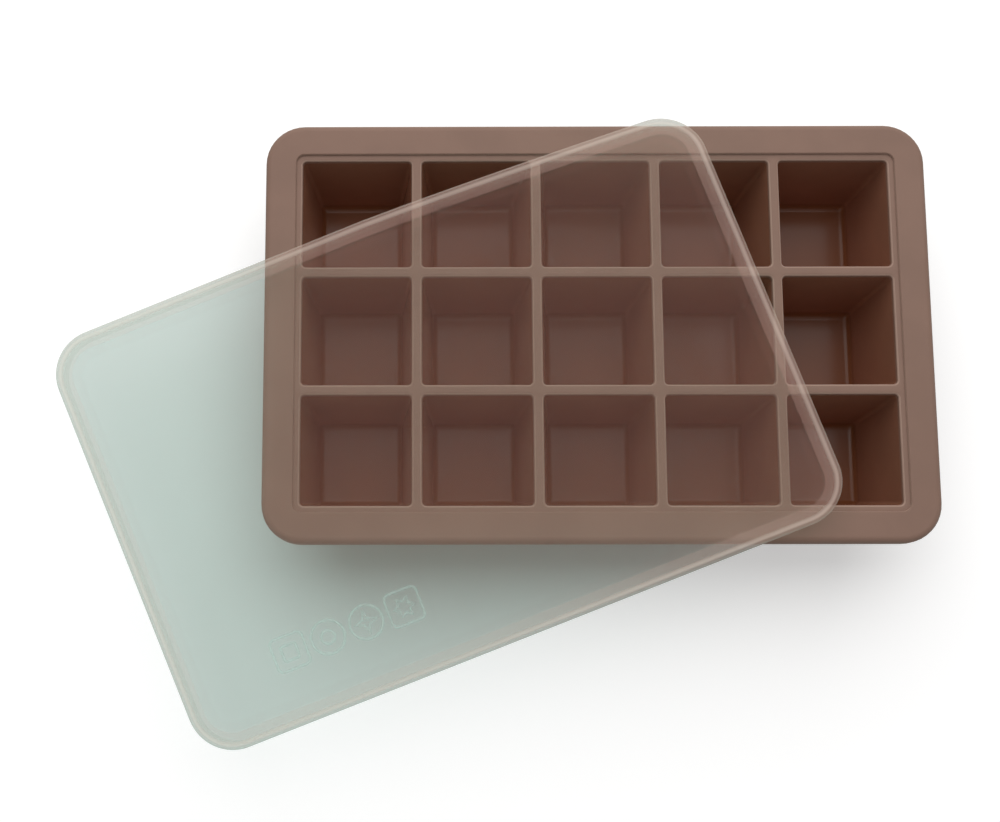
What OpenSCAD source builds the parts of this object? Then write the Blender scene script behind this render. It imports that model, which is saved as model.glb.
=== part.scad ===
// Baby food freezer tray: a soft moulded tray of square cups and its snap-shut lid.
// The lid is drawn where it lies in the rest pose, turned and leaning on the rim.

/* [Cups] */
// Number of cups along the tray
columns = 5; // [3:1:6]
// Number of cups across the tray
rows = 3; // [2:1:4]
// Distance between the centres of neighbouring cups
pitch = 38; // [34:0.5:42]
// Thickness of the divider between two cup mouths
divider = 3.2; // [2.8:0.1:4]
// Depth of a cup from the grid down to its floor
cup_depth = 35; // [28:1:40]
// How far each cup wall leans in from the mouth to the floor
cup_lean = 3.7; // [2.5:0.1:4.5]
// Corner radius inside a cup
cup_corner = 1.3; // [1.2:0.1:3.5]
// Radius of the curve between a cup's wall and its floor
floor_fillet = 2; // [1:0.1:2.4]
// Thickness of the cup walls
cup_wall = 1.5; // [1.2:0.1:1.6]
// Thickness of the cup floors
cup_floor = 2; // [1.5:0.1:3]
// Radius that rounds the top edge of every divider
mouth_round = 0.8; // [0.4:0.1:1]

/* [Rim] */
// Width of the flat rim round the grid
rim_width = 9.8; // [8:0.1:11.5]
// Strip of grid level that shows between the outer cups and the rim
ledge = 2; // [1:0.1:2.5]
// Height of the rim above the grid
rim_step = 0.9; // [0.4:0.1:1.5]
// Outside corner radius of the rim
rim_corner = 12.5; // [11:0.5:14]
// Thickness of the rim where it is flat underneath
rim_plate = 3.5; // [3:0.1:4.2]
// Height of the turned-down edge of the rim
rim_edge = 5; // [4.6:0.1:6]
// Width of the turned-down edge of the rim
rim_edge_wall = 2.6; // [2.2:0.1:4]
// Radius that rounds the top of the rim's outer edge
rim_round = 2; // [1:0.1:2.4]
// Thickness of the web that joins the cups just under the grid
web = 4; // [3.6:0.1:6]

/* [Lid] */
// Gap between the closed lid's skirt and the rim
lid_gap = 0.4; // [0.2:0.1:0.8]
// Thickness of the skirt
skirt_wall = 1.3; // [1:0.1:1.6]
// Depth of the skirt below the lid's underside
skirt_depth = 6.5; // [6.4:0.1:8]
// How far the snap bead stands in from the skirt
bead = 0.7; // [0.5:0.1:0.9]
// Height of the snap bead
bead_height = 1.1; // [0.8:0.1:1.2]
// Thickness of the thick border round the top
border_plate = 2; // [1.8:0.1:2.4]
// Width of the thick border
border_width = 5.5; // [5:0.1:6.5]
// Thickness of the narrow shelf inside the border
shelf_plate = 1.5; // [1.4:0.1:1.6]
// Distance from the lid's edge to the inner end of the shelf
shelf_end = 8.4; // [8:0.1:9.5]
// Thickness of the panel
panel_plate = 1.2; // [1:0.1:1.3]
// Radius that rounds the lid's top edge
lid_round = 1.2; // [0.6:0.1:1.3]

/* [Lid at rest] */
// Turn of the lid about the vertical
lid_turn = 21.4; // [21:0.1:22]
// Lean of the lid, down towards the tray's front left corner
lid_lean = 5.3; // [5.2:0.1:5.4]
// Direction in which the leaning lid rises, from the +X axis
lid_rise = 61; // [60.5:0.5:61.5]
// Place of the lid's middle along X
lid_x = -49; // [-50:0.5:-48]
// Place of the lid's middle along Y
lid_y = -31.75; // [-32.25:0.25:-31.25]
// Height of the middle of the lid's underside above the rim
lid_lift = 4.9; // [4.85:0.05:6]

/* [Hidden] */

// Flat steps in a quarter turn of a cup's corner
corner_steps = 4;
// Flat steps in a quarter turn of a small rounding
round_steps = 3;
// Facets in a full turn of the swept corners
$fn = 48;
// How far solids that are joined run into each other
overlap = 1;

mouth = pitch - divider;
grid_top = cup_floor + cup_depth;
rim_top = grid_top + rim_step;
lean = cup_lean / cup_depth;

// Half sizes of the rim's outline
rim_x = columns * pitch / 2 - divider / 2 + ledge + rim_width;
rim_y = rows * pitch / 2 - divider / 2 + ledge + rim_width;

// Half sizes and corner of the lid's outline
lid_offset = lid_gap + skirt_wall;
lid_half_x = rim_x + lid_offset;
lid_half_y = rim_y + lid_offset;
lid_corner = rim_corner + lid_offset;

// Points on an arc in the plane
function arc(x, y, r, from, to, steps = round_steps) =
    [for (k = [0 : steps]) let (a = from + (to - from) * k / steps) [x + r * cos(a), y + r * sin(a)]];

// Rounded square ring of points at one height
function ring(half, r, z) =
    [for (q = [0 : 3])
        let (x = (q == 0 || q == 3) ? half - r : r - half, y = (q < 2) ? half - r : r - half)
        each [for (p = arc(x, y, r, 90 * q, 90 * q + 90, corner_steps)) [p[0], p[1], z]]];

// Half width of a cup's inside at a height
function cup_half(z) = mouth / 2 - lean * (grid_top - z);

// Rings that round a drafted wall into a flat bottom, from the bottom up
function bottom_rings(half, r, z, fillet) =
    [for (p = arc(-fillet, fillet, fillet, -90, 0)) ring(half + p[0], r + p[0] / 2, z + p[1])];

// Closed solid through rings of points, listed from the bottom up
module loft(rings) {
    n = len(rings[0]);
    last = (len(rings) - 1) * n;
    polyhedron(
        points = [for (r = rings) each r],
        faces = concat(
            [[for (i = [0 : n - 1]) i]],
            [for (b = [0 : n : last - n]) each [for (i = [0 : n - 1])
                let (j = (i + 1) % n) [b + i, b + n + i, b + n + j, b + j]]],
            [[for (i = [n - 1 : -1 : 0]) last + i]]
        )
    );
}

// Sweep of an outline round a rounded rectangle; x is measured from the corner's centre
module sweep_rectangle(half_x, half_y, corner) {
    for (q = [0 : 3]) {
        turned = q % 2 == 1;
        along = (turned ? half_x : half_y) - corner;
        out = (turned ? half_y : half_x) - corner;
        rotate([0, 0, 90 * q]) translate([out, along, 0]) {
            rotate_extrude(angle = 90) children();
            rotate([90, 0, 0]) linear_extrude(2 * along) children();
        }
    }
}

// Outline of the rim: a plate with a turned-down outer edge
module rim_outline() {
    inner = rim_corner - rim_width;
    edge_round = mouth_round / 2;
    foot_round = edge_round;
    under = rim_top - rim_plate;
    foot = rim_top - rim_edge;
    lip = rim_corner - rim_edge_wall;
    polygon(concat(
        arc(rim_corner - rim_round, rim_top - rim_round, rim_round, 0, 90),
        arc(inner + edge_round, rim_top - edge_round, edge_round, 90, 180),
        [[inner, grid_top], [overlap / 2, grid_top], [overlap / 2, under], [lip, under]],
        arc(lip + foot_round, foot + foot_round, foot_round, 180, 270),
        arc(rim_corner - foot_round, foot + foot_round, foot_round, 270, 360)
    ));
}

// Inside of one cup, with its rounded mouth
module cup_inside() {
    clear_above = grid_top + rim_step + overlap;
    edge = arc(mouth_round, grid_top - mouth_round, mouth_round, 180, 90);
    loft(concat(
        bottom_rings(cup_half(cup_floor), cup_corner, cup_floor, floor_fillet),
        [for (p = edge) ring(mouth / 2 + p[0], cup_corner + p[0], p[1])],
        [ring(mouth / 2 + mouth_round, cup_corner + mouth_round, clear_above)]
    ));
}

// Outside of one cup, from its foot up into the web
module cup_outside() {
    top = grid_top - mouth_round;
    outer_corner = cup_corner + cup_wall;
    foot_fillet = floor_fillet + cup_wall / 2;
    loft(concat(
        bottom_rings(cup_half(0) + cup_wall, outer_corner, 0, foot_fillet),
        [ring(cup_half(top) + cup_wall, outer_corner, top)]
    ));
}

module at_cups() {
    for (i = [0 : columns - 1]) {
        for (j = [0 : rows - 1]) {
            translate([(i - (columns - 1) / 2) * pitch, (j - (rows - 1) / 2) * pitch, 0]) children();
        }
    }
}

// Soft tray: rim, web and cups in one moulding
module tray() {
    web_x = 2 * (rim_x - rim_corner + overlap);
    web_y = 2 * (rim_y - rim_corner + overlap);
    color("#8b7064")
    difference() {
        union() {
            sweep_rectangle(rim_x, rim_y, rim_corner) rim_outline();
            translate([-web_x / 2, -web_y / 2, grid_top - web]) cube([web_x, web_y, web]);
            at_cups() cup_outside();
        }
        at_cups() cup_inside();
    }
}

// Outline of the lid: panel edge, shelf, border, skirt and snap bead; its underside is at 0
module lid_outline() {
    skirt_in = lid_corner - skirt_wall;
    bead_in = skirt_in - bead;
    border_in = lid_corner - border_width;
    shelf_in = lid_corner - shelf_end;
    panel_end = shelf_in - 2 * overlap;
    foot_round = skirt_wall / 4;
    polygon(concat(
        [[panel_end, 0], [skirt_in, 0]],
        [[skirt_in, bead_height - skirt_depth + bead]],
        [[bead_in, bead_height - skirt_depth], [bead_in, bead - skirt_depth], [skirt_in, -skirt_depth]],
        arc(lid_corner - foot_round, foot_round - skirt_depth, foot_round, 270, 360),
        arc(lid_corner - lid_round, border_plate - lid_round, lid_round, 0, 90),
        [[border_in, border_plate], [border_in - (border_plate - shelf_plate), shelf_plate]],
        [[shelf_in, shelf_plate], [shelf_in - (shelf_plate - panel_plate), panel_plate]],
        [[panel_end, panel_plate]]
    ));
}

// Closed lid with its underside at 0 and its middle on the origin
module lid_flat() {
    panel_x = 2 * (lid_half_x - shelf_end - overlap);
    panel_y = 2 * (lid_half_y - shelf_end - overlap);
    sweep_rectangle(lid_half_x, lid_half_y, lid_corner) lid_outline();
    translate([-panel_x / 2, -panel_y / 2, 0]) cube([panel_x, panel_y, panel_plate]);
}

// Stiff snap-shut lid, lying askew across the tray
module lid() {
    color("#c3cfc8")
    translate([lid_x, lid_y, rim_top + lid_lift])
    rotate(a = lid_lean, v = [sin(lid_rise), -cos(lid_rise), 0])
    rotate([0, 0, lid_turn])
    lid_flat();
}

tray();
lid();
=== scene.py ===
"""Baby food freezer tray: the soft tray of cups and its frosted lid, round the packed frame."""

import math

import bmesh
import bpy
import numpy as np
from mathutils import Matrix, Vector


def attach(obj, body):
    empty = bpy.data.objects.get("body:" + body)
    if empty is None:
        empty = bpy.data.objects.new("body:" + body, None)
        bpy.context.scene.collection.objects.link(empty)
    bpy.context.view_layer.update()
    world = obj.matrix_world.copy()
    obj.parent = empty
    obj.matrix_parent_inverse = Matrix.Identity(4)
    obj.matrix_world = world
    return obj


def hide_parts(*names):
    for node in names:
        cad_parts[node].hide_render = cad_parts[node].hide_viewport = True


bl_info = {
    "name": "Freezer tray builder",
    "version": (1, 0, 0),
    "blender": (4, 5, 0),
    "location": "View3D > Sidebar > Freezer Tray",
    "description": "Builds a soft freezer tray with square cups and its frosted lid",
    "category": "Add Mesh",
}

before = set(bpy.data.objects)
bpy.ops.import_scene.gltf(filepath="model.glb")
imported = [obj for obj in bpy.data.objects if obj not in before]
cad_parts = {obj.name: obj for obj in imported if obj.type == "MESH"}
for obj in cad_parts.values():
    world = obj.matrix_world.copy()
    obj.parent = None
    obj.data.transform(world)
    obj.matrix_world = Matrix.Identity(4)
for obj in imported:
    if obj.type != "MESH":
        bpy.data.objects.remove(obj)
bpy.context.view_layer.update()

MM = 0.001
MERGE = 0.0005 * MM
PHOTO_WIDTH, PHOTO_HEIGHT = 1000, 822


# ---------------- sizes a user may change


def length(name, description, millimetres):
    """Property for a length, given in millimetres and kept in metres."""
    return bpy.props.FloatProperty(
        name=name, description=description, default=millimetres * MM, unit="LENGTH", precision=4
    )


def degrees(name, description, angle):
    """Property for an angle, given in degrees."""
    return bpy.props.FloatProperty(
        name=name, description=description, default=math.radians(angle), subtype="ANGLE"
    )


def colour(name, description, value):
    """Property for a linear colour."""
    return bpy.props.FloatVectorProperty(
        name=name, description=description, default=value, size=3, subtype="COLOR", min=0, max=1
    )


def factor(name, description, value, most=1.0):
    """Property for a plain number from 0 up."""
    return bpy.props.FloatProperty(
        name=name, description=description, default=value, min=0.0, max=most, subtype="FACTOR"
    )


def part(name, kind):
    """Property that holds a group of other properties."""
    return bpy.props.PointerProperty(name=name, description=kind.__doc__, type=kind)


class CupSizes(bpy.types.PropertyGroup):
    """Sizes of the cups and of the grid between them."""

    columns: bpy.props.IntProperty(
        name="Columns", description="Number of cups along the tray", default=5, min=2
    )
    rows: bpy.props.IntProperty(
        name="Rows", description="Number of cups across the tray", default=3, min=2
    )
    pitch: length("Pitch", "Distance between the centres of neighbouring cups", 38)
    divider: length("Divider", "Thickness of the divider between two mouths", 3.2)
    depth: length("Depth", "Depth of a cup from the grid to its floor", 35)
    lean: length("Lean", "How far each wall leans in over that depth", 3.7)
    corner: length("Corner", "Corner radius inside a cup", 1.3)
    floor_fillet: length("Floor fillet", "Radius between a cup's wall and its floor", 2)
    wall: length("Wall", "Thickness of the cup walls", 1.5)
    floor: length("Floor", "Thickness of the cup floors", 2)
    mouth_round: length("Mouth rounding", "Radius of a mouth's top edge", 0.8)
    web: length("Web", "Thickness of the web that joins the cups", 4)


class RimSizes(bpy.types.PropertyGroup):
    """Sizes of the tray's rim."""

    width: length("Width", "Width of the flat rim", 9.8)
    ledge: length("Ledge", "Strip of grid level between the outer cups and the rim", 2)
    step: length("Step", "Height of the rim above the grid", 0.9)
    corner: length("Corner", "Outside corner radius", 12.5)
    plate: length("Plate", "Thickness of the rim's plate", 3.5)
    edge: length("Edge", "Height of the turned-down edge", 5)
    edge_wall: length("Edge wall", "Width of the turned-down edge", 2.6)
    rounding: length("Rounding", "Radius of the outer top edge", 2)


class LidSizes(bpy.types.PropertyGroup):
    """Sizes of the lid and of the way it lies on the tray."""

    gap: length("Gap", "Play between the closed lid's skirt and the rim", 0.4)
    skirt_wall: length("Skirt wall", "Thickness of the skirt", 1.3)
    skirt_depth: length("Skirt depth", "Depth of the skirt below the underside", 6.5)
    bead: length("Bead", "How far the snap bead stands in from the skirt", 0.7)
    bead_height: length("Bead height", "Height of the snap bead", 1.1)
    border_plate: length("Border plate", "Thickness of the border", 2)
    border_width: length("Border width", "Width of the border", 5.5)
    shelf_plate: length("Shelf plate", "Thickness of the shelf inside the border", 1.5)
    shelf_end: length("Shelf end", "Distance from the edge to the shelf's inner end", 8.4)
    panel_plate: length("Panel plate", "Thickness of the panel", 1.2)
    rounding: length("Rounding", "Radius of the top edge", 1.2)
    give_back: length("Give at the back", "How far the raised corner gives way inwards", 5.0)
    give_front: length("Give at the front", "How far the lowest corner gives way inwards", 2.3)
    turn: degrees("Turn", "Turn about the vertical", 21.4)
    lean: degrees("Lean", "Lean of the lid on the rim", 5.3)
    rise: degrees("Rise", "Direction in which the lid rises, from the X axis", 61)
    place: bpy.props.FloatVectorProperty(
        name="Place",
        description="Place of the lid's middle, its height counted from the top of the rim",
        default=(-49 * MM, -31.75 * MM, 4.9 * MM),
        size=3,
        unit="LENGTH",
        subtype="TRANSLATION",
    )


class MarkSizes(bpy.types.PropertyGroup):
    """Sizes of the row of plain raised marks on the lid."""

    count: bpy.props.IntProperty(name="Count", description="Number of marks", default=4, min=1)
    size: length("Size", "Width of one mark", 10.4)
    spacing: length("Spacing", "Distance between neighbouring marks", 12.5)
    line: length("Line", "Half width of a raised line", 0.4)
    height: length("Height", "Height of a raised line above the panel", 0.26)
    start: length("Start", "Place of the last mark along the lid", -68.6)
    across: length("Across", "Place of the row across the lid", -46.7)
    shine: length("Shine", "Depth from the edge whose haze the marks take", 5.45)


class Finishes(bpy.types.PropertyGroup):
    """Colours and surface values of the two mouldings."""

    silicone: colour("Silicone", "Colour of the soft tray", (0.238, 0.147, 0.112))
    # Painted highlight: the lip colour is laid only as lighter lines on the rounded lips of the
    # mouths and on the step up to the rim.
    lip: colour("Lip", "Colour of the dividers and of the lips round the cups", (0.36, 0.24, 0.19))
    # Painted shade and bounce light: the wall, deep and bottom colours make the cups' inner skin
    # darker and redder than the rim, redder and a little brighter low on the walls and darkest on
    # the floors, though the real silicone is one colour.
    wall: colour("Wall silicone", "Colour of the cup walls at the mouth", (0.25, 0.11, 0.067))
    deep_painted_bounce: colour("Deep silicone", "Colour of the cup walls near the floor", (0.33, 0.138, 0.083))
    floor_painted_shade: colour("Bottom silicone", "Colour of the cup floors", (0.178, 0.058, 0.023))
    rim_roughness: factor("Rim roughness", "Roughness of the rim", 0.5)
    cup_roughness: factor("Cup roughness", "Roughness inside the cups", 0.18)
    # Frost and milk are the lid's haze colours; their warm pink is partly painted bounce light,
    # standing in for the brown light that the tray sends up into the lid, and milk also colours the
    # painted gleam highlight.
    frost: colour("Frost", "Colour of the lid's haze", (0.78, 0.325, 0.27))
    milk: colour("Milk", "Colour of the haze where the lid is thick", (1.0, 0.77, 0.67))
    mark: colour("Mark", "Colour of the haze of the raised marks", (0.82, 0.86, 0.83))
    glow: colour("Glow", "Colour of the light that the haze passes", (0.62, 1.0, 0.87))
    tint: colour("Tint", "Colour that the lid lets through", (0.962, 0.986, 0.981))
    lid_roughness: factor("Lid roughness", "Roughness of the lid", 0.36)
    panel_haze: factor("Panel haze", "How solid one face of the panel looks", 0.08)
    # The edge haze sets how solid the thick border and the painted gleam highlight along the edge
    # look.
    edge_haze: factor("Edge haze", "How solid the brightest line along the edge looks", 0.6)
    skirt_haze: factor("Skirt haze", "How solid one face of the skirt looks", 0.05)


class StudioSettings(bpy.types.PropertyGroup):
    """Floor, light and camera."""

    # The floor colour is tinted green: painted light, standing in for the green light that the lid
    # lets through; the bare floor that the camera sees directly takes the paper colour.
    floor: colour("Floor", "Colour of the floor under the lid", (0.735, 0.825, 0.8))
    paper: colour("Paper", "Colour of the bare floor round the object", (0.8, 0.797, 0.793))
    lift: factor("Lift", "What the camera's own rays add to the bare floor", 0.37)
    key: factor("Key light", "Level of the key light on the tray", 1.06, 3.0)
    sky: factor("Sky", "Level of the light from all round", 0.35, 3.0)
    focal: bpy.props.FloatProperty(
        name="Focal length",
        description="Focal length as a share of the picture's width",
        default=1.4,
        min=0.2,
    )
    distance: length("Distance", "Distance from the camera to the point it looks at", 434.69)
    elevation: degrees("Elevation", "Height of the camera above the horizon", 81.79)
    yaw: degrees("Yaw", "Turn of the camera about the vertical", -0.94)
    roll: degrees("Roll", "Roll of the camera", -1.03)


# ---------------- outlines and shells


def arc_points(centre, radius, start, end, steps):
    """Points on an arc, angles in degrees, with both ends."""
    angles = np.radians(np.linspace(start, end, steps + 1))
    return np.stack([centre[0] + radius * np.cos(angles), centre[1] + radius * np.sin(angles)], 1)


def rounded_outline(corners, steps=5, support=0.12 * MM):
    """Points of an open outline of (x, z, radius) corners, each rounded and kept tight by a point
    on either side of its rounding, so that flat faces beside it stay flat."""
    spots = np.array([corner[:2] for corner in corners], float)
    points = [spots[0]]
    for index in range(1, len(corners) - 1):
        here, radius = spots[index], corners[index][2]
        back, ahead = spots[index - 1] - here, spots[index + 1] - here
        room = min(np.linalg.norm(back), np.linalg.norm(ahead))
        back, ahead = back / np.linalg.norm(back), ahead / np.linalg.norm(ahead)
        half = math.acos(float(np.clip(back @ ahead, -1, 1))) / 2
        reach = radius / math.tan(half)
        centre = here + (back + ahead) / np.linalg.norm(back + ahead) * radius / math.sin(half)
        first, last = here + back * reach, here + ahead * reach
        guard = reach + support < room * 0.6
        if guard:
            points.append(first + back * support)
        start, end = (math.atan2(*(spot - centre)[::-1]) for spot in (first, last))
        swing = (end - start + math.pi) % (2 * math.pi) - math.pi
        for step in range(steps + 1):
            angle = start + swing * step / steps
            points.append(centre + radius * np.array([math.cos(angle), math.sin(angle)]))
        if guard:
            points.append(last + ahead * support)
    points.append(spots[-1])
    return np.array(points)


def at_height(flat, height):
    """A flat loop of points with its height or heights."""
    return np.column_stack([flat, np.broadcast_to(height, len(flat))])


class Shell:
    """Gathers bands of faces and makes one closed mesh from them."""

    def __init__(self):
        self.points, self.faces, self.count = [], [], 0

    def _keep(self, ring):
        self.points.append(ring)
        self.count += len(ring)
        return self.count - len(ring)

    def band(self, rings):
        """Quads from each closed ring of points to the next."""
        starts = [self._keep(ring) for ring in rings]
        size = len(rings[0])
        for low, high in zip(starts, starts[1:]):
            for index in range(size):
                after = (index + 1) % size
                self.faces.append((low + index, low + after, high + after, high + index))

    def cap(self, ring):
        """Closes a ring by triangles round its middle."""
        start, middle = self._keep(ring), self._keep(ring.mean(0)[None])
        for index in range(len(ring)):
            self.faces.append((start + index, start + (index + 1) % len(ring), middle))

    def mesh(self, name):
        """The gathered faces as a mesh."""
        made = bpy.data.meshes.new(name)
        made.from_pydata(np.concatenate(self.points).tolist(), [], self.faces)
        return made


def clean_mesh(mesh):
    """Merges doubled points, drops empty faces, turns all faces outwards and smooths them."""
    work = bmesh.new()
    work.from_mesh(mesh)
    bmesh.ops.remove_doubles(work, verts=work.verts, dist=MERGE)
    bmesh.ops.dissolve_degenerate(work, edges=work.edges, dist=MERGE)
    bmesh.ops.recalc_face_normals(work, faces=work.faces)
    work.to_mesh(mesh)
    work.free()
    mesh.polygons.foreach_set("use_smooth", np.ones(len(mesh.polygons), bool))
    mesh.update()
    return mesh


def new_object(name, mesh):
    """Links a new object with that mesh to the scene."""
    made = bpy.data.objects.new(name, mesh)
    bpy.context.scene.collection.objects.link(made)
    return made


def finish_piece(piece, body, replaced=()):
    """Hands a finished piece to the frame."""
    if not len(piece.data.polygons):
        raise RuntimeError(f"{piece.name} came out empty")
    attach(piece, body)
    if replaced:
        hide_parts(*replaced)


def mesh_points(mesh):
    """The mesh's points as an array."""
    points = np.empty(len(mesh.vertices) * 3)
    mesh.vertices.foreach_get("co", points)
    return points.reshape(-1, 3)


def give_values(mesh, name, values):
    """Stores one number for each point, for the material to read."""
    layer = mesh.attributes.new(name, "FLOAT", "POINT")
    layer.data.foreach_set("value", np.asarray(values, np.float32))


# ---------------- nodes


class Wire:
    """One output of a node; sums written with it add their Math nodes."""

    def __init__(self, maker, socket):
        self.maker, self.socket = maker, socket

    def _sum(self, operation, *values):
        return self.maker.add("ShaderNodeMath", {"operation": operation}, dict(enumerate(values)))

    def __add__(self, other):
        return self._sum("ADD", self, other)

    def __mul__(self, other):
        return self._sum("MULTIPLY", self, other)

    def __sub__(self, other):
        return self._sum("SUBTRACT", self, other)

    def __rsub__(self, other):
        return self._sum("SUBTRACT", other, self)

    def __truediv__(self, other):
        return self._sum("DIVIDE", self, other)

    __radd__, __rmul__ = __add__, __mul__


class NodeMaker:
    """Adds nodes to one tree, for a material or for geometry."""

    def __init__(self, tree):
        self.tree = tree

    def add(self, kind, settings=None, values=None, output=0):
        """Adds a node, sets its settings and then its inputs, and returns one output as a Wire."""
        node = self.tree.nodes.new(kind)
        for name, value in (settings or {}).items():
            setattr(node, name, value)
        for name, value in (values or {}).items():
            if isinstance(value, Wire):
                self.tree.links.new(value.socket, node.inputs[name])
            else:
                node.inputs[name].default_value = value
        return Wire(self, node.outputs[output]) if len(node.outputs) else node

    def gather(self, kind, parts):
        """Adds a node whose one input takes several links."""
        node = self.tree.nodes.new(kind)
        for part in parts:
            self.tree.links.new(part.socket, node.inputs[0])
        return Wire(self, node.outputs[0])

    def ramp(self, value, low, high, out_low=0.0, out_high=1.0):
        """Smooth step of a value between two levels."""
        levels = {"From Min": low, "From Max": high, "To Min": out_low, "To Max": out_high}
        return self.add(
            "ShaderNodeMapRange", {"interpolation_type": "SMOOTHSTEP"}, {"Value": value, **levels}
        )

    def blend(self, mask, first, second):
        """Mix of two colours by a mask."""
        return self.add(
            "ShaderNodeMix", {"data_type": "RGBA"}, {"Factor": mask, 6: first, 7: second}, output=2
        )

    def noise(self, vector, scale, detail=2.0, roughness=0.5):
        """Value of a noise pattern."""
        values = {"Vector": vector, "Scale": scale, "Detail": detail, "Roughness": roughness}
        return self.add("ShaderNodeTexNoise", None, values)

    def bump(self, height, distance, strength):
        """Normal that follows a height pattern."""
        values = {"Height": height, "Distance": distance, "Strength": strength}
        return self.add("ShaderNodeBump", None, values)


def new_material(name):
    """An empty material and the maker of its nodes."""
    material = bpy.data.materials.new(name)
    material.use_nodes = True
    material.node_tree.nodes.clear()
    return material, NodeMaker(material.node_tree)


def opaque(value):
    """A colour with full alpha, as sockets take it."""
    return (*value, 1.0)


# Depths below the grid, in mm, between which the cups' glossier finish and their painted shade and
# bounce colours set in
INSIDE_RISE = (0.2, 2.5)
# Heights above the grid, in mm, of the two painted highlight lines: the lips, and the step up to
# the rim
HIGHLIGHT_LINES = ((-0.75, -0.03), (0.03, 0.75))
LINE_RISE, LINE_FADE = 0.3, 0.08
# How far those lines reach past the rim's inner edge, and how softly they end, in mm
LINE_REACH, LINE_END = 0.8, 0.2
MOTTLE_SCALE, GRAIN_SCALE, GRAIN_ROUGHNESS = 55, 2600, 0.6
MOTTLE_SHADES = (0.96, 1.04)
SILICONE_IOR, SILICONE_GLOSS = 1.41, 0.2


def silicone_material(finishes, shape):
    """Satin silicone: fine grain, faint mottling, glossier and smoother inside the cups, whose
    colour holds painted shade and reddish bounce light, with painted highlights along the lips and
    the step up to the rim.
    """
    cups, grid_top = shape.cups, shape.grid_top
    material, nodes = new_material("Satin silicone")
    place = nodes.add("ShaderNodeTexCoord", output="Object")
    across, along, height = (
        nodes.add("ShaderNodeSeparateXYZ", None, {0: place}, output=axis) for axis in "XYZ"
    )
    cup = nodes.add("ShaderNodeAttribute", {"attribute_name": "inside"}, output="Fac")
    inside = nodes.ramp(height, *(grid_top - level * MM for level in INSIDE_RISE)) * cup
    mottle = nodes.noise(place, MOTTLE_SCALE, 3)
    grain = nodes.noise(place, GRAIN_SCALE, 2, GRAIN_ROUGHNESS)
    mottled = nodes.ramp(mottle, 0.3, 0.7)
    rim_shade, wall_painted_shade, deep_painted_bounce_tone, floor_painted_shade_tone = (
        nodes.blend(mottled, *(opaque(Vector(base) * share) for share in MOTTLE_SHADES))
        for base in (finishes.silicone, finishes.wall, finishes.deep_painted_bounce, finishes.floor_painted_shade)
    )
    # Painted shade and bounce: the walls turn from the wall colour at the mouth to the deep colour
    # near the floor, and the floors take the darker bottom colour.
    sunk = nodes.ramp(height, grid_top, cups.floor)
    low = nodes.ramp(height, cups.floor + 1.5 * cups.floor_fillet, cups.floor)
    within = 1.0
    for side, edge in ((across, shape.edge_x), (along, shape.edge_y)):
        side = nodes.add("ShaderNodeMath", {"operation": "ABSOLUTE"}, {0: side})
        edge = edge - shape.rim.width + LINE_REACH * MM
        within = nodes.ramp(side, edge, edge - LINE_END * MM) * within
    # Painted highlights: lighter lines on the rounding of the lips and on the step up to the rim,
    # kept inside the rim's inner edge.
    lip, riser_highlight = (
        nodes.ramp(height, grid_top + start * MM, grid_top + (start + LINE_RISE) * MM)
        * nodes.ramp(height, grid_top + end * MM, grid_top + (end - LINE_FADE) * MM)
        for start, end in HIGHLIGHT_LINES
    )
    cup_painted_shade = nodes.blend(low, nodes.blend(sunk, wall_painted_shade, deep_painted_bounce_tone), floor_painted_shade_tone)
    plain_shade = nodes.blend(inside, rim_shade, cup_painted_shade)
    shade = nodes.blend((lip + riser_highlight) * within, plain_shade, opaque(finishes.lip))
    roughness = finishes.rim_roughness + inside * (finishes.cup_roughness - finishes.rim_roughness)
    normal = nodes.bump(grain * (1 - inside * 0.9), 0.03 * MM, 0.3)
    shader = nodes.add(
        "ShaderNodeBsdfPrincipled",
        None,
        {
            "Base Color": shade,
            "Roughness": roughness + (mottle - 0.5) * 0.06,
            "Normal": normal,
            "IOR": SILICONE_IOR,
            "Specular IOR Level": SILICONE_GLOSS,
        },
    )
    nodes.add("ShaderNodeOutputMaterial", None, {"Surface": shader})
    return material


# Depths from the lid's edge, in mm, between which each part of its border fades, and the painted
# gleam highlight with them
BORDER_FADE, SHELF_FADE, ROUNDING_FADE = (5.7, 5.2), (8.6, 8.1), (1.3, 0.4)
GLEAM_RISE, GLEAM_FADE = (0.8, 1.6), (3.0, 1.8)
# How much each part adds to the haze
BORDER_SHARE, SHELF_SHARE, GLEAM_SHARE, ROUNDING_SHARE = 0.3, 0.05, 0.5, 0.2
# Heights above the lid's underside, in mm, where its top begins and where its skirt begins
TOP_RISE, SKIRT_RISE = (0.7, 1.0), (-0.2, -0.8)
# Share of the haze that passes light, and how much less of it passes where the lid is thick
PASSING, PASSING_LOSS = 0.43, 0.15
LID_IOR = 1.5


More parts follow.
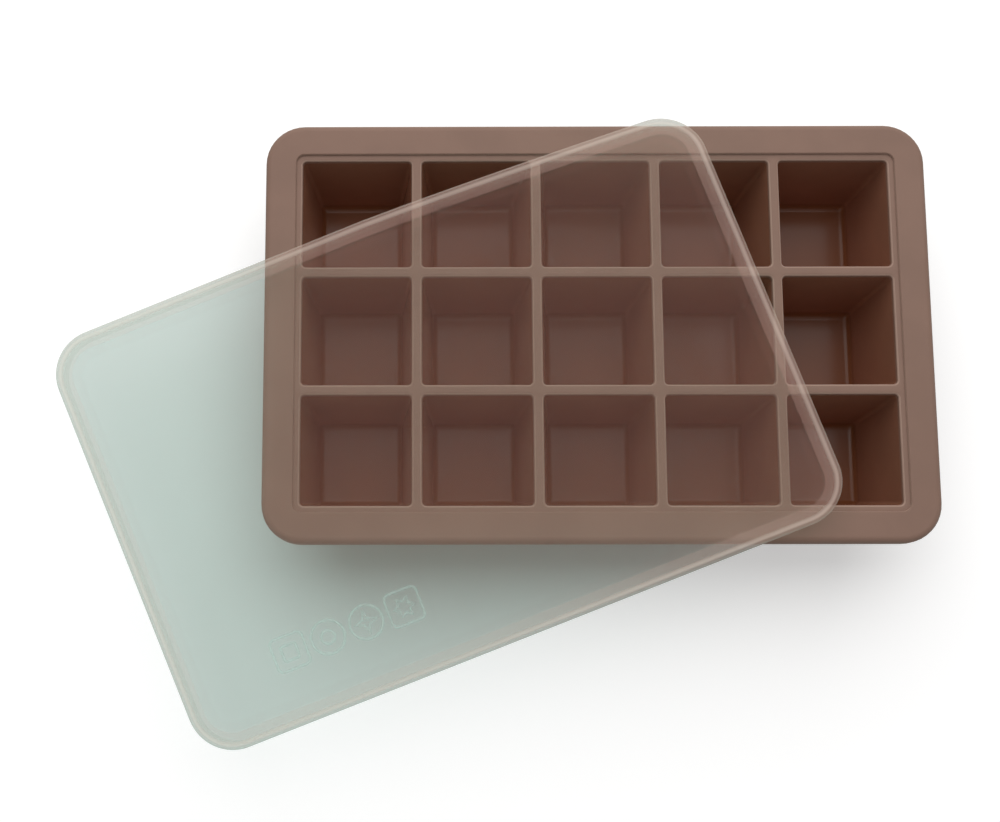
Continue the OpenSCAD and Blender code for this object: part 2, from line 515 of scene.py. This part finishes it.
def frosted_material(name, finishes, frost, milk=None):
    """Frosted plastic: a hazy film over a slightly green window, thicker at the lid's border, with
    a painted gleam highlight along the edge.
    """
    material, nodes = new_material(name)
    place = nodes.add("ShaderNodeTexCoord", output="Object")
    depth, height = (
        nodes.add("ShaderNodeAttribute", {"attribute_name": value}, output="Fac")
        for value in ("depth", "height")
    )
    border, shelf, rounding = (
        nodes.ramp(depth, *fade) for fade in (BORDER_FADE, SHELF_FADE, ROUNDING_FADE)
    )
    # Painted highlight: the gleam is a bright line of milky haze about 1 to 3 mm in from the edge,
    # not a thicker part of the lid.
    gleam = nodes.ramp(depth, *GLEAM_RISE) * nodes.ramp(depth, *GLEAM_FADE)
    # The thick mask carries the thicker border, shelf and rounding, and also the painted gleam
    # highlight.
    thick = nodes.ramp(height, *TOP_RISE) * (
        border * BORDER_SHARE
        + shelf * SHELF_SHARE
        + gleam * GLEAM_SHARE
        + rounding * ROUNDING_SHARE
    )
    skirt = nodes.ramp(height, *SKIRT_RISE)
    haze = (
        finishes.panel_haze
        + thick * (finishes.edge_haze - finishes.panel_haze)
        - skirt * (finishes.panel_haze - finishes.skirt_haze)
    )
    cloud = nodes.noise(place, 38, 3)
    grain = nodes.noise(place, 2100, 2, 0.6)
    normal = nodes.bump(grain, 0.04 * MM, 0.5)
    # For the lid, the warm frost and milk film colours are partly painted bounce light from the
    # tray below.
    colour_of_film = nodes.blend(thick, opaque(frost), opaque(milk)) if milk else opaque(frost)
    film = nodes.add(
        "ShaderNodeBsdfPrincipled",
        None,
        {
            "Base Color": colour_of_film,
            "Roughness": finishes.lid_roughness + (cloud - 0.5) * 0.1,
            "Normal": normal,
            "IOR": LID_IOR,
        },
    )
    glow = nodes.add("ShaderNodeBsdfTranslucent", None, {"Color": opaque(finishes.glow)})
    passing = PASSING - thick * PASSING_LOSS
    body = nodes.add("ShaderNodeMixShader", None, {0: passing, 1: film, 2: glow})
    window = nodes.add("ShaderNodeBsdfTransparent", None, {"Color": opaque(finishes.tint)})
    solid = haze * (0.8 + cloud * 0.15 + nodes.noise(place, 11, 1) * 0.25)
    surface = nodes.add("ShaderNodeMixShader", None, {0: solid, 1: window, 2: body})
    nodes.add("ShaderNodeOutputMaterial", None, {"Surface": surface})
    return material


# Distances from the object, in metres, over which the bare floor turns plain white
WHITE_RISE = (0.35, 1.3)


def floor_material(studio):
    """Plain pale floor that the camera sees as white, but for the object's shadow; seen through the
    lid, and in the light it sends back, it has the green floor colour, painted light standing in
    for the lid's green light.
    """
    material, nodes = new_material("Studio floor")
    seen = nodes.add("ShaderNodeLightPath", output="Is Camera Ray")
    layers = nodes.add("ShaderNodeLightPath", output="Transparent Depth")
    place = nodes.add("ShaderNodeTexCoord", output="Object")
    fibres = nodes.noise(place, 900, 2)
    away = nodes.add("ShaderNodeVectorMath", {"operation": "LENGTH"}, {0: place}, output="Value")
    bare = seen * nodes.ramp(layers, 0.0, 1.0, 1.0, 0.0)
    # Painted light: the green floor colour is used wherever the floor is not seen bare, standing in
    # for light tinted by the lid.
    shade = nodes.blend(bare, opaque(studio.floor), opaque(studio.paper))
    normal = nodes.bump(fibres, 0.02 * MM, 0.2)
    matte = nodes.add("ShaderNodeBsdfDiffuse", None, {"Color": shade, "Normal": normal})
    lift = nodes.ramp(away, *WHITE_RISE, studio.lift, 1.0)
    glow = nodes.add("ShaderNodeEmission", None, {"Strength": bare * lift})
    both = nodes.add("ShaderNodeAddShader", None, {0: matte, 1: glow})
    nodes.add("ShaderNodeOutputMaterial", None, {"Surface": both})
    return material


# ---------------- tray


class TrayShape:
    """Derived sizes of the tray and the rings that its faces run through."""

    straight_steps = 6
    corner_steps = 12

    def __init__(self, settings):
        self.cups, self.rim = settings.cups, settings.rim
        cups, rim = self.cups, self.rim
        self.mouth = cups.pitch - cups.divider
        self.grid_top = cups.floor + cups.depth
        self.rim_top = self.grid_top + rim.step
        self.edge_x = cups.columns * cups.pitch / 2 - cups.divider / 2 + rim.ledge + rim.width
        self.edge_y = cups.rows * cups.pitch / 2 - cups.divider / 2 + rim.ledge + rim.width
        self.corner_x, self.corner_y = self.edge_x - rim.corner, self.edge_y - rim.corner
        self.step_corner = rim.corner - rim.width
        self.spare = rim.ledge - cups.divider / 2
        self.mouth_half = self.mouth / 2 + cups.mouth_round
        self.mouth_corner = cups.corner + cups.mouth_round
        self.straight = self.mouth_half - self.mouth_corner
        self.under = self.grid_top - cups.web
        self.rim_under = self.rim_top - rim.plate

    def ring(self, half, corner, height):
        """Rounded square ring round a cup's middle."""
        side = half - corner
        along = np.linspace(-side, side, self.straight_steps + 1)
        quarter = np.concatenate(
            [
                np.column_stack([np.full(len(along), half), along]),
                arc_points((side, side), corner, 0, 90, self.corner_steps)[1:-1],
            ]
        )
        return at_height(self.turned(quarter), height)

    @staticmethod
    def turned(quarter):
        """Four copies of a quarter of a loop, each turned by a right angle."""
        loops = [quarter]
        for _ in range(3):
            loops.append(np.column_stack([-loops[-1][:, 1], loops[-1][:, 0]]))
        return np.concatenate(loops)

    def cell(self, column, row):
        """Flat outline of the square cell round one cup, rounded at the grid's own corners."""
        half = self.cups.pitch / 2
        along = np.linspace(-self.straight, self.straight, self.straight_steps + 1)
        climb = np.linspace(self.straight, half, self.corner_steps // 2 + 1)[1:]
        plain = np.concatenate(
            [
                np.column_stack([np.full(len(climb), half), climb]),
                np.column_stack([climb[:-1][::-1], np.full(len(climb) - 1, half)]),
            ]
        )
        centre = (half + self.spare - self.step_corner,) * 2
        grid_corner = arc_points(centre, self.step_corner, 0, 90, self.corner_steps - 2)
        side = np.column_stack([np.full(len(along), half), along])
        ends = [
            (-1 if place == 0 else 0) + (1 if place == last else 0)
            for place, last in ((column, self.cups.columns - 1), (row, self.cups.rows - 1))
        ]
        quarters = ((1, 1), (-1, 1), (-1, -1), (1, -1))
        loop = np.concatenate(
            [
                np.concatenate([side, grid_corner if list(quarter) == ends else plain])
                @ turn_matrix(turn)
                for turn, quarter in enumerate(quarters)
            ]
        )
        at_edge = np.isclose(loop, half * np.array(ends), atol=MERGE) & (np.array(ends) != 0)
        return loop + at_edge * np.array(ends) * self.spare + self.middle(column, row)

    def middle(self, column, row):
        """Place of one cup's middle."""
        last = np.array([self.cups.columns, self.cups.rows]) - 1
        return (np.array([column, row]) - last / 2) * self.cups.pitch

    def under_height(self, flat):
        """Height of the web's underside, which climbs to the rim's underside at the grid's edge."""
        reach = 1.8 * MM
        over = np.maximum(np.abs(flat) - (self.corner_x, self.corner_y), 0)
        climb = np.clip((np.hypot(*over.T) - self.step_corner) / reach + 1, 0, 1)
        return self.under + (self.rim_under - self.under) * climb

    def stations(self):
        """Loop round the grid's edge: corner centre and outward direction of each point."""
        columns, rows, pitch = self.cups.columns, self.cups.rows, self.cups.pitch
        along = np.linspace(-self.straight, self.straight, self.straight_steps + 1)
        gap = np.linspace(self.straight, pitch - self.straight, self.corner_steps + 1)[1:-1]
        bases, ways = [], []
        for turn in range(4):
            count = rows if turn % 2 == 0 else columns
            out, side = (
                (self.corner_x, self.corner_y) if turn % 2 == 0 else (self.corner_y, self.corner_x)
            )
            spots = []
            for index in range(count):
                middle = (index - (count - 1) / 2) * pitch
                spots.extend(middle + along)
                if index < count - 1:
                    spots.extend(middle + gap)
            base = np.column_stack([np.full(len(spots), out), spots])
            way = np.tile([1.0, 0.0], (len(spots), 1))
            swing = arc_points((0, 0), 1.0, 0, 90, self.corner_steps - 2)
            corner = np.tile([out, side], (len(swing), 1))
            matrix = turn_matrix(turn)
            bases.append(np.concatenate([base, corner]) @ matrix)
            ways.append(np.concatenate([way, swing]) @ matrix)
        return np.concatenate(bases), np.concatenate(ways)

    def cup_shell(self):
        """Inside and outside of one cup, open where it joins the grid and the web."""
        cups = self.cups
        draft = math.degrees(math.atan(cups.lean / cups.depth))
        low_half = self.mouth / 2 - cups.lean
        centre = (self.mouth_half, self.grid_top - cups.mouth_round)
        inner = [
            self.ring(half, cups.corner + half - self.mouth / 2, height)
            for half, height in arc_points(centre, cups.mouth_round, 90, 180, 5)
        ]
        centre = (low_half - cups.floor_fillet, cups.floor + cups.floor_fillet)
        fillet = arc_points(centre, cups.floor_fillet, -draft, -90, 6)
        wall = np.linspace(
            (self.mouth / 2, self.grid_top - cups.mouth_round), fillet[0], 10
        )[1:-1]
        inner += [self.ring(half, cups.corner, height) for half, height in wall]
        for half, height in fillet:
            inner.append(self.ring(half, cups.corner + (half - low_half) / 2, height))
        floor_half, floor_corner = fillet[-1][0], cups.corner - cups.floor_fillet / 2
        inner += self.disc(floor_half, floor_corner, cups.floor)

        outer_corner = cups.corner + cups.wall
        foot_fillet = cups.floor_fillet + cups.wall / 2
        foot_half = self.mouth / 2 - cups.lean / cups.depth * self.grid_top + cups.wall
        top = (
            self.mouth / 2 - cups.lean / cups.depth * cups.mouth_round + cups.wall,
            self.grid_top - cups.mouth_round,
        )
        foot = (foot_half, foot_fillet)
        share = (self.under - foot[1]) / (top[1] - foot[1])
        under = (foot[0] + (top[0] - foot[0]) * share, self.under)
        outer = [
            self.ring(half, outer_corner, height)
            for half, height in np.linspace(under, foot, 8)
        ]
        foot_arc = arc_points((foot_half - foot_fillet, foot_fillet), foot_fillet, 0, -90, 6)[1:]
        for half, height in foot_arc:
            outer.append(self.ring(half, outer_corner + (half - foot_half) / 2, height))
        outer += self.disc(foot_arc[-1][0], outer_corner - foot_fillet / 2, 0.0)

        shell = Shell()
        for rings in (inner, outer):
            shell.band(rings)
            shell.cap(rings[-1])
        self.under_half = under[0]
        return shell

    def disc(self, half, corner, height):
        """Rings that carry a flat floor in towards its middle."""
        return [
            self.ring(half * share, corner * share, height) for share in (0.97, 0.7, 0.4, 0.12)
        ]

    def inside(self, points):
        """1 for each point on the inner skin of a cup and 0 for the others."""
        cups = self.cups
        count = np.array([cups.columns, cups.rows])
        place = points[:, :2] / cups.pitch + (count - 1) / 2
        away = np.abs(place - np.clip(np.round(place), 0, count - 1)).max(1) * cups.pitch
        wall = self.mouth / 2 - cups.lean * (self.grid_top - points[:, 2]) / cups.depth
        return (away < wall + cups.wall / 2) & (points[:, 2] > cups.floor / 2)

    def grid_shell(self):
        """Grid, web and rim: all of the tray that is not a cup."""
        cups, rim = self.cups, self.rim
        shell = Shell()
        inset = 1 - 0.12 * MM / (cups.pitch / 2)
        for column in range(cups.columns):
            for row in range(cups.rows):
                middle = self.middle(column, row)
                outline = self.cell(column, row)
                guard = middle + (outline - middle) * inset
                mouth = self.ring(self.mouth_half, self.mouth_corner, 0)[:, :2] + middle
                below = self.ring(self.under_half, cups.corner + cups.wall, 0)[:, :2] + middle
                shell.band([at_height(flat, self.grid_top) for flat in (mouth, guard, outline)])
                shell.band(
                    [at_height(below, self.under), at_height(outline, self.under_height(outline))]
                )
        edge_round = cups.mouth_round / 2
        foot = self.rim_top - rim.edge
        lip = rim.corner - rim.edge_wall
        outline = rounded_outline(
            [
                (self.step_corner, self.grid_top, 0),
                (self.step_corner, self.rim_top, edge_round),
                (rim.corner, self.rim_top, rim.rounding),
                (rim.corner, foot, edge_round),
                (lip, foot, edge_round),
                (lip, self.rim_under, edge_round),
                (self.step_corner, self.rim_under, 0),
            ]
        )
        bases, ways = self.stations()
        shell.band([at_height(bases + ways * x, z) for x, z in outline])
        return shell


def turn_matrix(turns):
    """Matrix that turns row points by a number of right angles."""
    quarter = np.array([[0.0, 1.0], [-1.0, 0.0]])
    return np.linalg.matrix_power(quarter, turns)


def new_tree(name, start, result, **sizes):
    """An empty geometry tree, the maker of its nodes, and a wire for each of its named inputs."""
    tree = bpy.data.node_groups.new(name, "GeometryNodeTree")
    for label, kind in {start: "Geometry", **sizes}.items():
        tree.interface.new_socket(label, in_out="INPUT", socket_type="NodeSocket" + kind)
    tree.interface.new_socket(result, in_out="OUTPUT", socket_type="NodeSocketGeometry")
    nodes = NodeMaker(tree)
    given = tree.nodes.new("NodeGroupInput")
    value = {socket.name: Wire(nodes, socket) for socket in given.outputs if socket.name}
    return tree, nodes, value


def cups_tree(material):
    """Geometry nodes that set one cup in rows and join it to the grid round it."""
    sizes = {"Columns": "Int", "Rows": "Int", "Pitch": "Float", "Merge": "Float"}
    tree, nodes, value = new_tree("Cups in rows", "Grid", "Tray", Cup="Object", **sizes)
    sides = {}
    for axis, count in (("X", value["Columns"]), ("Y", value["Rows"])):
        sides |= {f"Size {axis}": (count - 1) * value["Pitch"], f"Vertices {axis}": count}
    places = nodes.add("GeometryNodeMeshGrid", None, sides)
    cup = nodes.add("GeometryNodeObjectInfo", None, {"Object": value["Cup"]}, output="Geometry")
    cups = nodes.add("GeometryNodeInstanceOnPoints", None, {"Points": places, "Instance": cup})
    plain = nodes.add("GeometryNodeRealizeInstances", None, {"Geometry": cups})
    joined = nodes.gather("GeometryNodeJoinGeometry", (plain, value["Grid"]))
    merged = nodes.add(
        "GeometryNodeMergeByDistance", None, {"Geometry": joined, "Distance": value["Merge"]}
    )
    finished = nodes.add(
        "GeometryNodeSetMaterial", None, {"Geometry": merged, "Material": material}
    )
    nodes.add("NodeGroupOutput", None, {0: finished})
    return tree


def grow(name, start, tree, inputs):
    """Runs a geometry tree on an object and returns its result as a plain mesh object."""
    modifier = start.modifiers.new(tree.name, "NODES")
    modifier.node_group = tree
    for item in tree.interface.items_tree:
        if item.in_out == "INPUT" and item.name in inputs:
            modifier[item.identifier] = inputs[item.name]
    graph = bpy.context.evaluated_depsgraph_get()
    mesh = bpy.data.meshes.new_from_object(start.evaluated_get(graph))
    bpy.data.objects.remove(start)
    mesh.name = name
    return new_object(name, clean_mesh(mesh))


# ---------------- lid


# How the give at a corner dies away along the lid
GIVE_CURVE = 1.3
# Sizes of the rings that carry the panel in to its middle
PANEL_SHARES = (1.0, 0.93, 0.86, 0.78, 0.7, 0.6, 0.5, 0.4, 0.3, 0.2, 0.1, 0.03)


class LidShape:
    """Derived sizes of the lid, its outline and its place."""

    side_steps = 16
    corner_steps = 16

    def __init__(self, settings, tray):
        self.sizes = settings.lid
        offset = self.sizes.gap + self.sizes.skirt_wall
        self.corner = tray.rim.corner + offset
        self.corner_x, self.corner_y = tray.corner_x, tray.corner_y
        sizes = self.sizes
        self.place = (
            Matrix.Translation(Vector(sizes.place) + Vector((0, 0, tray.rim_top)))
            @ Matrix.Rotation(
                sizes.lean, 4, Vector((math.sin(sizes.rise), -math.cos(sizes.rise), 0))
            )
            @ Matrix.Rotation(sizes.turn, 4, "Z")
        )

    def loop(self, reach):
        """Flat loop at a distance from the corner centres."""
        loops = []
        for turn in range(4):
            out, side = (
                (self.corner_x, self.corner_y) if turn % 2 == 0 else (self.corner_y, self.corner_x)
            )
            along = np.linspace(-side, side, self.side_steps + 1)
            straight = np.column_stack([np.full(len(along), out + reach), along])
            corner = arc_points((out, side), reach, 0, 90, self.corner_steps)[1:-1]
            loops.append(np.concatenate([straight, corner]) @ turn_matrix(turn))
        return np.concatenate(loops)

    def outline(self):
        """Outline from the panel's top over the edge and round to its underside."""
        s = self.sizes
        skirt_in = self.corner - s.skirt_wall
        border_in, shelf_in = self.corner - s.border_width, self.corner - s.shelf_end
        foot = -s.skirt_depth
        fine = 0.25 * MM
        start = shelf_in - 2 * MM
        return rounded_outline(
            [
                (start, s.panel_plate, 0),
                (shelf_in - (s.shelf_plate - s.panel_plate), s.panel_plate, fine),
                (shelf_in, s.shelf_plate, fine),
                (border_in - (s.border_plate - s.shelf_plate), s.shelf_plate, fine),
                (border_in, s.border_plate, fine),
                (self.corner, s.border_plate, s.rounding),
                (self.corner, foot, s.skirt_wall / 4),
                (skirt_in, foot, s.skirt_wall / 4),
                (skirt_in - s.bead, foot + s.bead, fine),
                (skirt_in - s.bead, foot + s.bead_height, fine / 2),
                (skirt_in, foot + s.bead_height + s.bead, fine),
                (skirt_in, 0, 0.5 * MM),
                (start, 0, 0),
            ]
        )

    def shell(self):
        """The closed lid with its underside at height 0."""
        outline = self.outline()
        shell = Shell()
        shell.band([at_height(self.loop(reach), height) for reach, height in outline])
        for reach, height in (outline[0], outline[-1]):
            rings = [at_height(self.loop(reach) * share, height) for share in PANEL_SHARES]
            shell.band(rings)
            shell.cap(rings[-1])
        return shell

    def depth(self, points):
        """How far in from the edge each point of the flat lid lies."""
        past = np.abs(points[:, :2]) - (self.corner_x, self.corner_y)
        over, inner = np.maximum(past, 0), np.min(-past, 1)
        return self.corner - np.hypot(*over.T) + np.maximum(inner, 0)

    def flex(self, points):
        """The flat lid's points, moved as the real one bends where two corners stand free."""
        along = points[:, 0] / (self.corner_x + self.corner)
        across = (points[:, 1] / (self.corner_y + self.corner) + 1) / 2
        back = np.clip(along, 0, 1) ** GIVE_CURVE * across
        front = np.clip(-along, 0, 1) ** GIVE_CURVE * (1 - across)
        moved = points.copy()
        moved[:, 0] += front * self.sizes.give_front
        moved[:, 1] -= back * self.sizes.give_back
        return moved


def marks_tree(material):
    """Geometry nodes that draw a row of plain raised marks: outlines with a shape inside each."""
    sizes = dict.fromkeys(("Size", "Spacing", "Line", "Height"), "Float")
    tree, nodes, value = new_tree("Row of raised marks", "Start", "Marks", Count="Int", **sizes)

    def square(width, corner):
        sides = {"Width": width, "Height": width}
        flat = nodes.add("GeometryNodeCurvePrimitiveQuadrilateral", None, sides)
        rounding = {"Curve": flat, "Radius": corner, "Count": 6}
        return nodes.add("GeometryNodeFilletCurve", {"mode": "POLY"}, rounding)

    def circle(radius):
        return nodes.add(
            "GeometryNodeCurvePrimitiveCircle", None, {"Radius": radius, "Resolution": 48}
        )

    def star(points, outer, inner):
        return nodes.add(
            "GeometryNodeCurveStar",
            None,
            {"Points": points, "Inner Radius": inner, "Outer Radius": outer},
        )

    def joined(*parts):
        return nodes.gather("GeometryNodeJoinGeometry", parts)

    size = value["Size"]
    designs = [
        joined(square(size, size * 0.16), square(size * 0.46, size * 0.08)),
        joined(circle(size * 0.5), circle(size * 0.2)),
        joined(circle(size * 0.5), star(4, size * 0.36, size * 0.11)),
        joined(square(size, size * 0.16), star(6, size * 0.32, size * 0.17)),
    ]
    offset = nodes.add("ShaderNodeCombineXYZ", None, {"X": value["Spacing"]})
    line = nodes.add("GeometryNodeMeshLine", None, {"Count": value["Count"], "Offset": offset})
    choices = nodes.gather("GeometryNodeGeometryToInstance", reversed(designs))
    chosen = {"Points": line, "Instance": choices, "Pick Instance": True}
    chosen["Instance Index"] = nodes.add("GeometryNodeInputIndex")
    spread = nodes.add("GeometryNodeInstanceOnPoints", None, chosen)
    curves = nodes.add("GeometryNodeRealizeInstances", None, {"Geometry": spread})
    profile = nodes.add(
        "GeometryNodeCurvePrimitiveCircle", None, {"Radius": value["Line"], "Resolution": 10}
    )
    raised = nodes.add(
        "GeometryNodeCurveToMesh", None, {"Curve": curves, "Profile Curve": profile}
    )
    sides = {"X": 1.0, "Y": 1.0, "Z": value["Height"] / value["Line"]}
    scale = nodes.add("ShaderNodeCombineXYZ", None, sides)
    flat = nodes.add("GeometryNodeTransform", None, {"Geometry": raised, "Scale": scale})
    finished = nodes.add("GeometryNodeSetMaterial", None, {"Geometry": flat, "Material": material})
    nodes.add("NodeGroupOutput", None, {0: finished})
    return tree


# ---------------- operators


class TRAY_OT_make_tray(bpy.types.Operator):
    """Builds the soft tray: rim, grid and cups in one moulding"""

    bl_idname = "freezer_tray.make_tray"
    bl_label = "Make Tray"

    def execute(self, context):
        settings = context.scene.freezer_tray
        shape = TrayShape(settings)
        cup = new_object("one_cup", shape.cup_shell().mesh("one_cup"))
        grid = new_object("grid_and_rim", shape.grid_shell().mesh("grid_and_rim"))
        material = silicone_material(settings.finishes, shape)
        cups = settings.cups
        inputs = {"Cup": cup, "Merge": MERGE}
        inputs |= {"Columns": cups.columns, "Rows": cups.rows, "Pitch": cups.pitch}
        piece = grow("silicone_tray", grid, cups_tree(material), inputs)
        bpy.data.objects.remove(cup)
        give_values(piece.data, "inside", shape.inside(mesh_points(piece.data)))
        finish_piece(piece, "tray", ["tray"])
        return {"FINISHED"}


class TRAY_OT_make_lid(bpy.types.Operator):
    """Builds the frosted lid as it lies askew on the tray"""

    bl_idname = "freezer_tray.make_lid"
    bl_label = "Make Lid"

    def execute(self, context):
        settings = context.scene.freezer_tray
        shape = LidShape(settings, TrayShape(settings))
        mesh = clean_mesh(shape.shell().mesh("frosted_lid"))
        points = mesh_points(mesh)
        give_values(mesh, "depth", shape.depth(points) / MM)
        give_values(mesh, "height", points[:, 2] / MM)
        mesh.vertices.foreach_set("co", shape.flex(points).ravel())
        mesh.transform(shape.place)
        finishes = settings.finishes
        mesh.materials.append(
            frosted_material("Frosted plastic", finishes, finishes.frost, finishes.milk)
        )
        finish_piece(new_object("frosted_lid", mesh), "lid", ["lid"])
        return {"FINISHED"}


class TRAY_OT_make_marks(bpy.types.Operator):
    """Builds the row of plain raised marks on the lid's panel"""

    bl_idname = "freezer_tray.make_marks"
    bl_label = "Make Marks"

    def execute(self, context):
        settings = context.scene.freezer_tray
        marks, finishes = settings.marks, settings.finishes
        shape = LidShape(settings, TrayShape(settings))
        start = new_object("marks_start", bpy.data.meshes.new("marks_start"))
        names = ("Count", "Size", "Spacing", "Line", "Height")
        inputs = {name: getattr(marks, name.lower()) for name in names}
        material = frosted_material("Frosted marks", finishes, finishes.mark)
        piece = grow("lid_marks", start, marks_tree(material), inputs)
        count = len(piece.data.vertices)
        give_values(piece.data, "depth", np.full(count, marks.shine / MM))
        give_values(piece.data, "height", np.full(count, settings.lid.panel_plate / MM))
        on_lid = Matrix.Translation((marks.start, marks.across, settings.lid.panel_plate))
        piece.data.transform(shape.place @ on_lid)
        finish_piece(piece, "lid")
        return {"FINISHED"}


FLOOR_HALF = 3.0
FLOOR_DROP = 0.05 * MM
LAMP_SIZE, LAMP_DISTANCE = (1.65, 1.6), 1.25
# How far the lamp leans from overhead, and in which direction from the +X axis
LAMP_LEAN, LAMP_SIDE = math.radians(35), math.radians(92)
# Point of the grid that the camera looks at, and that point's pixel in the photo's frame
CAMERA_AIM, AIM_PIXEL = (-55.07 * MM, -38.63 * MM), (423.1, 452.0)
SENSOR_WIDTH = 36.0


class TRAY_OT_make_studio(bpy.types.Operator):
    """Makes the floor, the soft light and the camera"""

    bl_idname = "freezer_tray.make_studio"
    bl_label = "Make Studio"

    def execute(self, context):
        settings = context.scene.freezer_tray
        studio = settings.studio
        self.make_floor(studio)
        self.make_light(context, studio)
        self.make_camera(context, studio, TrayShape(settings).grid_top)
        context.scene.view_settings.view_transform = "Standard"
        return {"FINISHED"}

    @staticmethod
    def make_floor(studio):
        mesh = bpy.data.meshes.new("studio_floor")
        corners = [
            (x * FLOOR_HALF, y * FLOOR_HALF, 0) for x, y in ((-1, -1), (1, -1), (1, 1), (-1, 1))
        ]
        mesh.from_pydata(corners, [], [(0, 1, 2, 3)])
        mesh.materials.append(floor_material(studio))
        floor = new_object("studio_floor", mesh)
        floor.location.z = -FLOOR_DROP

    @staticmethod
    def make_light(context, studio):
        world = bpy.data.worlds.new("Studio sky")
        world.use_nodes = True
        world.node_tree.nodes.clear()
        nodes = NodeMaker(world.node_tree)
        seen, glossy, through = (
            nodes.add("ShaderNodeLightPath", output=f"Is {kind} Ray")
            for kind in ("Camera", "Glossy", "Transmission")
        )
        white = nodes.ramp(seen + glossy + through, 0.0, 1.0, studio.sky, 1.0)
        sky = nodes.add("ShaderNodeBackground", None, {"Color": (1, 1, 1, 1), "Strength": white})
        nodes.add("ShaderNodeOutputWorld", None, {"Surface": sky})
        context.scene.world = world

        lamp = bpy.data.lights.new("Key light", "AREA")
        lamp.shape = "RECTANGLE"
        lamp.size, lamp.size_y = LAMP_SIZE
        lamp.energy = studio.key * math.pi**2 * LAMP_DISTANCE**2
        light = new_object("Key light", lamp)
        way = Vector(
            (
                math.sin(LAMP_LEAN) * math.cos(LAMP_SIDE),
                math.sin(LAMP_LEAN) * math.sin(LAMP_SIDE),
                math.cos(LAMP_LEAN),
            )
        )
        light.location = way * LAMP_DISTANCE
        light.rotation_euler = way.to_track_quat("Z", "Y").to_euler()

    @staticmethod
    def make_camera(context, studio, height):
        aim = Vector((*CAMERA_AIM, height))
        yaw, up_angle = studio.yaw, studio.elevation
        ahead = Vector(
            (
                math.sin(yaw) * math.cos(up_angle),
                math.cos(yaw) * math.cos(up_angle),
                -math.sin(up_angle),
            )
        )
        right = Vector((math.cos(yaw), -math.sin(yaw), 0))
        above = right.cross(ahead)
        cos, sin = math.cos(studio.roll), math.sin(studio.roll)
        across, upward = right * cos + above * sin, above * cos - right * sin
        lens = bpy.data.cameras.new("Photo camera")
        lens.sensor_width = SENSOR_WIDTH
        lens.lens = studio.focal * lens.sensor_width
        lens.shift_x = (PHOTO_WIDTH / 2 - AIM_PIXEL[0]) / PHOTO_WIDTH
        lens.shift_y = (AIM_PIXEL[1] - PHOTO_HEIGHT / 2) / PHOTO_WIDTH
        lens.clip_start, lens.clip_end = 0.01, 20
        camera = new_object("Photo camera", lens)
        turn = Matrix((across, upward, -ahead)).transposed().to_4x4()
        camera.matrix_world = Matrix.Translation(aim - ahead * studio.distance) @ turn
        context.scene.camera = camera


class FreezerTraySettings(bpy.types.PropertyGroup):
    """All sizes and colours of the freezer tray."""

    cups: part("Cups", CupSizes)
    rim: part("Rim", RimSizes)
    lid: part("Lid", LidSizes)
    marks: part("Marks", MarkSizes)
    finishes: part("Finishes", Finishes)
    studio: part("Studio", StudioSettings)


class TRAY_PT_panel(bpy.types.Panel):
    """Lists the builders and the sizes"""

    bl_idname = "TRAY_PT_panel"
    bl_label = "Freezer Tray"
    bl_space_type = "VIEW_3D"
    bl_region_type = "UI"
    bl_category = "Freezer Tray"

    def draw(self, context):
        settings = context.scene.freezer_tray
        for operator in OPERATORS:
            self.layout.operator(operator.bl_idname)
        for part in ("cups", "rim", "lid", "marks", "finishes", "studio"):
            box = self.layout.box()
            group = getattr(settings, part)
            for name in group.__annotations__:
                box.prop(group, name)


OPERATORS = (TRAY_OT_make_tray, TRAY_OT_make_lid, TRAY_OT_make_marks, TRAY_OT_make_studio)
CLASSES = (
    CupSizes,
    RimSizes,
    LidSizes,
    MarkSizes,
    Finishes,
    StudioSettings,
    FreezerTraySettings,
    *OPERATORS,
    TRAY_PT_panel,
)


def register():
    """Registers the classes and the settings."""
    for kind in CLASSES:
        bpy.utils.register_class(kind)
    bpy.types.Scene.freezer_tray = bpy.props.PointerProperty(type=FreezerTraySettings)


def unregister():
    """Takes the classes and the settings away again."""
    del bpy.types.Scene.freezer_tray
    for kind in reversed(CLASSES):
        bpy.utils.unregister_class(kind)


def main():
    """Builds every piece in order."""
    register()
    bpy.ops.freezer_tray.make_tray()
    bpy.ops.freezer_tray.make_lid()
    bpy.ops.freezer_tray.make_marks()
    bpy.ops.freezer_tray.make_studio()


if __name__ == "__main__":
    main()
